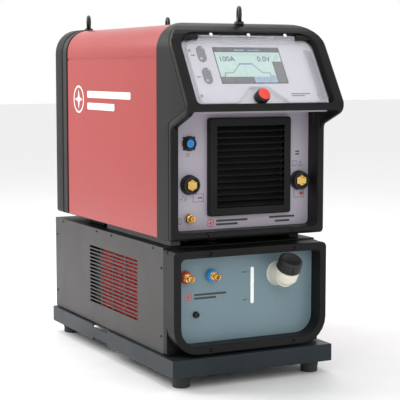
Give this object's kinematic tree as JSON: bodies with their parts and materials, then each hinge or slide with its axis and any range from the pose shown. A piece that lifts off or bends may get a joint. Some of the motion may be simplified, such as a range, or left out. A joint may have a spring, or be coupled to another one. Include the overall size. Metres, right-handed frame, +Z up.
{
  "type": "tig welder",
  "caption": "Inverter TIG welding power source with a leaning control head under a clear lid, standing on its water cooler and base tray.",
  "frame": {"origin": "centre of the footprint, on the surface the feet stand on", "axes": "+Z up, the front with the controls faces -Y, +X to the right of a person facing the front"},
  "size_m": [0.366, 0.716, 0.7538],
  "materials": {
    "black_plastic": "textured",
    "tray_paint": "satin",
    "grey_paint": "satin",
    "red_paint": "orange-peel powder coat",
    "panel_grey": "satin",
    "panel_blue": "satin",
    "rubber": "matte",
    "brass": "machined",
    "steel": "brushed",
    "aluminium": "satin",
    "red_plastic": "gloss",
    "blue_plastic": "gloss",
    "cream_plastic": "satin",
    "clear_plastic": "clear",
    "screen": "gloss",
    "grey_plastic": "satin"
  },
  "bodies": {
    "root": {"base_tray": "tray_paint", "foot_fl": "rubber", "foot_fr": "rubber", "foot_bl": "rubber", "foot_br": "rubber", "cooler_side_l": "grey_paint", "cooler_side_r": "grey_paint", "cooler_rear_panel": "grey_paint", "rear_panel": "grey_paint", "cooler_bezel": "black_plastic", "cooler_top": "black_plastic", "fuse_holder": "black_plastic", "power_bezel": "black_plastic", "rear_bezel": "black_plastic", "louvre_grille": "black_plastic", "weld_socket_neg": "black_plastic", "weld_socket_pos": "black_plastic", "remote_socket": "black_plastic", "cooler_fan_frame": "black_plastic", "power_fan_frame": "black_plastic", "mains_switch": "black_plastic", "cable_gland": "black_plastic", "eye_bolt_front": "black_plastic", "eye_bolt_rear_l": "black_plastic", "eye_bolt_rear_r": "black_plastic", "cooler_front_panel": "panel_blue", "level_window": "clear_plastic", "lid_hinge": "clear_plastic", "tank": "cream_plastic", "filler_neck": "cream_plastic", "coupling_red_body": "brass", "coupling_blue_body": "brass", "weld_insert_neg": "brass", "weld_insert_pos": "brass", "gas_outlet": "brass", "gas_inlet": "brass", "pump": "steel", "power_floor": "steel", "radiator": "aluminium", "spacer_front_l": "grey_plastic", "spacer_front_r": "grey_plastic", "spacer_rear_l": "grey_plastic", "spacer_rear_r": "grey_plastic", "port_cover_top": "grey_plastic", "port_cover_bottom": "grey_plastic", "power_cover": "red_paint", "power_front_panel": "panel_grey", "head_panel": "panel_grey", "display": "screen"},
    "lid": {"lid": "clear_plastic"},
    "encoder_shaft": {"encoder_shaft": "steel"},
    "encoder_knob": {"encoder_knob": "black_plastic"},
    "filler_seal": {"filler_seal": "rubber"},
    "filler_cap": {"filler_cap": "black_plastic"},
    "fuse_cap": {"fuse_cap": "black_plastic"},
    "sleeve_red": {"coupling_red_sleeve": "red_plastic"},
    "sleeve_blue": {"coupling_blue_sleeve": "blue_plastic"},
    "mains_knob": {"mains_knob": "red_plastic"},
    "power_fan": {"power_fan_rotor": "black_plastic"},
    "cooler_fan": {"cooler_fan_rotor": "black_plastic"}
  },
  "joints": [
    {"name": "lid_hinge", "type": "hinge", "parent": "root", "child": "lid", "pos_m": [0, -0.27384, 0.68964], "axis": [-1, 0, 0], "range_deg": [0, 100]},
    {"name": "encoder_push", "type": "slide", "parent": "root", "child": "encoder_shaft", "axis": [0, 0.8471, -0.5314], "range_m": [0, 0.001], "stiffness_N_per_m": 900, "springref_m": -0.001},
    {"name": "encoder_turn", "type": "hinge", "parent": "encoder_shaft", "child": "encoder_knob", "pos_m": [-0.006, -0.33292, 0.56911], "axis": [0, -0.8471, 0.5314], "continuous": true},
    {"name": "filler_lift", "type": "slide", "parent": "root", "child": "filler_seal", "axis": [0, -0.5, 0.866], "range_m": [0, 0.012]},
    {"name": "filler_turn", "type": "hinge", "parent": "filler_seal", "child": "filler_cap", "pos_m": [0.076, -0.3025, 0.216], "axis": [0, -0.5, 0.866], "range_deg": [0, 1080]},
    {"name": "fuse_turn", "type": "hinge", "parent": "root", "child": "fuse_cap", "pos_m": [-0.112, -0.2643, 0.14], "axis": [0, -1, 0], "range_deg": [0, 90]},
    {"name": "red_release", "type": "slide", "parent": "root", "child": "sleeve_red", "axis": [0, 1, 0], "range_m": [0, 0.003], "stiffness_N_per_m": 900, "springref_m": -0.002},
    {"name": "blue_release", "type": "slide", "parent": "root", "child": "sleeve_blue", "axis": [0, 1, 0], "range_m": [0, 0.003], "stiffness_N_per_m": 900, "springref_m": -0.002},
    {"name": "mains_turn", "type": "hinge", "parent": "root", "child": "mains_knob", "pos_m": [0.09, 0.3371, 0.61], "axis": [0, 1, 0], "range_deg": [0, 90]},
    {"name": "power_fan_spin", "type": "hinge", "parent": "root", "child": "power_fan", "pos_m": [0, 0.3035, 0.4455], "axis": [0, 1, 0], "continuous": true},
    {"name": "cooler_fan_spin", "type": "hinge", "parent": "root", "child": "cooler_fan", "pos_m": [0, 0.25, 0.158], "axis": [0, 1, 0], "continuous": true}
  ],
  "couplings": [
    {"joint": "filler_turn", "follows": "filler_lift", "rad_per_m": 1570.8}
  ]
}
